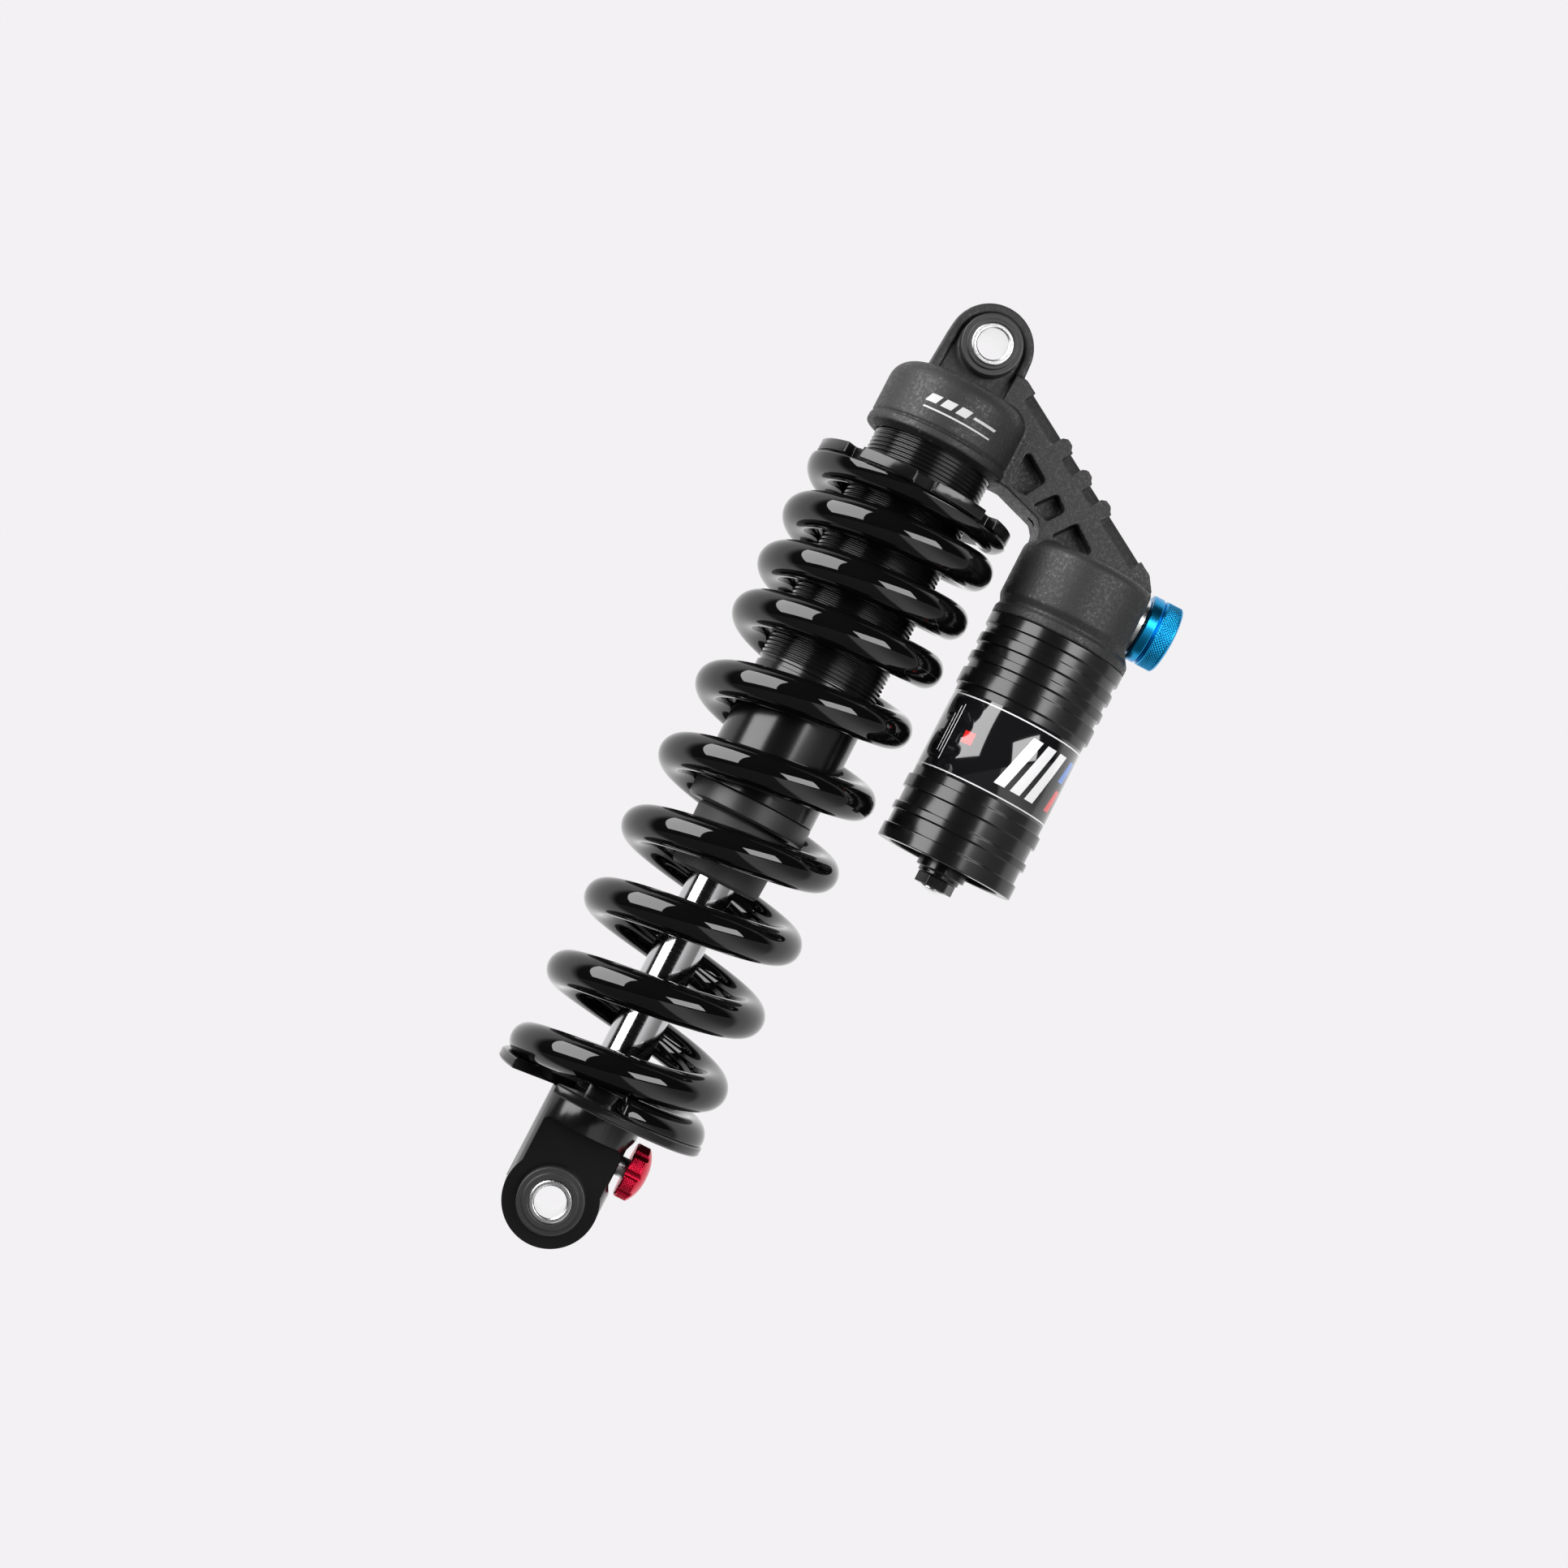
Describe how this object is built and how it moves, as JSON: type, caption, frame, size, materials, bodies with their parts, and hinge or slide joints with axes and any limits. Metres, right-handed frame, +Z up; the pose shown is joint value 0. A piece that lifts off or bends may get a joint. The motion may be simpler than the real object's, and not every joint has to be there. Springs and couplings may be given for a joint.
{
  "type": "coil-over rear shock",
  "caption": "Coil-sprung rear shock with piggyback reservoir, preload collar, rebound and compression knobs, and a bushed eye at each end.",
  "frame": {"origin": "centre of the upper eye, on the axis of its bore", "axes": "+Z up along the damper's axis, away from the lower eye; +X from the damper to the reservoir; both eye bores along Y"},
  "size_m": [0.1037, 0.056, 0.2634],
  "materials": {
    "cast_black": "sand-cast texture under satin black paint",
    "bush_grey": "self-lubricating liner",
    "sleeve_silver": "satin machined",
    "spacer_black": "satin moulded",
    "anodised_black": "gloss black anodised",
    "satin_black": "satin black anodised",
    "seal_rubber": "moulded seal",
    "foam_black": "closed-cell foam skin",
    "washer_black": "moulded nylon",
    "spring_black": "gloss black powder coat",
    "shaft_chrome": "hard chrome, ground and polished",
    "piston_alloy": "turned",
    "bearing_band": "bronze-filled bearing strip",
    "shim_steel": "ground steel",
    "brass": "machined",
    "anodised_red": "red anodised",
    "anodised_blue": "blue anodised",
    "label_film": "gloss printed film"
  },
  "bodies": {
    "damper_body": {"head_casting": "cast_black", "upper_eye_bush": "bush_grey", "damper_tube": "anodised_black", "seal_head": "satin_black", "seal_head_o_ring": "seal_rubber", "shaft_seal": "seal_rubber", "wiper_seal": "seal_rubber", "bump_stop": "foam_black", "coil_spring": "spring_black", "reservoir_can": "anodised_black", "reservoir_label": "label_film", "reservoir_o_ring": "seal_rubber", "reservoir_end_cap": "anodised_black", "end_cap_o_ring": "seal_rubber", "end_cap_circlip": "shim_steel", "gas_valve": "anodised_black", "gas_valve_core": "brass", "gas_valve_plug": "sleeve_silver", "compression_valve_body": "sleeve_silver"},
    "upper_sleeve": {"upper_eye_sleeve": "sleeve_silver", "upper_eye_spacers": "spacer_black"},
    "collar_carrier": {"thrust_washer": "washer_black"},
    "collar": {"preload_collar": "anodised_black"},
    "shaft_assembly": {"shaft": "shaft_chrome", "top_out_bumper": "seal_rubber", "rebound_shims": "shim_steel", "main_piston": "piston_alloy", "piston_band": "bearing_band", "compression_shims": "shim_steel", "piston_nut": "shim_steel", "lower_eyelet": "anodised_black", "lower_eye_bush": "bush_grey", "spring_retainer": "anodised_black"},
    "rebound_rod": {"rebound_needle": "shim_steel"},
    "rebound_dial": {"rebound_knob": "anodised_red", "rebound_spindle": "shim_steel"},
    "lower_sleeve": {"lower_eye_sleeve": "sleeve_silver", "lower_eye_spacers": "spacer_black"},
    "gas_piston": {"floating_piston": "piston_alloy", "floating_piston_o_ring": "seal_rubber", "floating_piston_band": "bearing_band"},
    "compression_dial": {"compression_knob": "anodised_blue", "compression_spindle": "shim_steel", "compression_grub_screw": "shim_steel"},
    "compression_rod": {"compression_needle": "shim_steel"}
  },
  "joints": [
    {"name": "shaft_slide", "type": "slide", "parent": "damper_body", "child": "shaft_assembly", "axis": [0, 0, 1], "range_m": [0, 0.073], "stiffness_N_per_m": 96300, "springref_m": -0.002, "deforming": ["coil_spring", "bump_stop"]},
    {"name": "gas_piston_slide", "type": "slide", "parent": "damper_body", "child": "gas_piston", "axis": [0, 0, -1], "range_m": [0, 0.0128]},
    {"name": "upper_sleeve_turn", "type": "hinge", "parent": "damper_body", "child": "upper_sleeve", "pos_m": [0, 0, 0], "axis": [0, 1, 0], "continuous": true},
    {"name": "lower_sleeve_turn", "type": "hinge", "parent": "shaft_assembly", "child": "lower_sleeve", "pos_m": [0, 0, -0.24], "axis": [0, 1, 0], "continuous": true},
    {"name": "collar_turn", "type": "hinge", "parent": "collar_carrier", "child": "collar", "pos_m": [0, 0, -0.0436], "axis": [0, 0, 1], "range_deg": [0, 720]},
    {"name": "collar_lift", "type": "slide", "parent": "damper_body", "child": "collar_carrier", "axis": [0, 0, 1], "range_m": [0, 0.002]},
    {"name": "rebound_knob_turn", "type": "hinge", "parent": "shaft_assembly", "child": "rebound_dial", "pos_m": [0.015, 0, -0.2255], "axis": [1, 0, 0], "range_deg": [0, 720]},
    {"name": "rebound_needle_slide", "type": "slide", "parent": "shaft_assembly", "child": "rebound_rod", "axis": [0, 0, 1], "range_m": [0, 0.001]},
    {"name": "compression_knob_turn", "type": "hinge", "parent": "damper_body", "child": "compression_dial", "pos_m": [0.066, 0, -0.0442], "axis": [1, 0, 0], "range_deg": [0, 720]},
    {"name": "compression_needle_slide", "type": "slide", "parent": "damper_body", "child": "compression_rod", "axis": [1, 0, 0], "range_m": [0, 0.001]}
  ],
  "couplings": [
    {"joint": "gas_piston_slide", "follows": "shaft_slide", "ratio": 0.16687},
    {"joint": "collar_turn", "follows": "collar_lift", "rad_per_m": 6283.2},
    {"joint": "rebound_knob_turn", "follows": "rebound_needle_slide", "rad_per_m": 12566},
    {"joint": "compression_knob_turn", "follows": "compression_needle_slide", "rad_per_m": 12566}
  ]
}
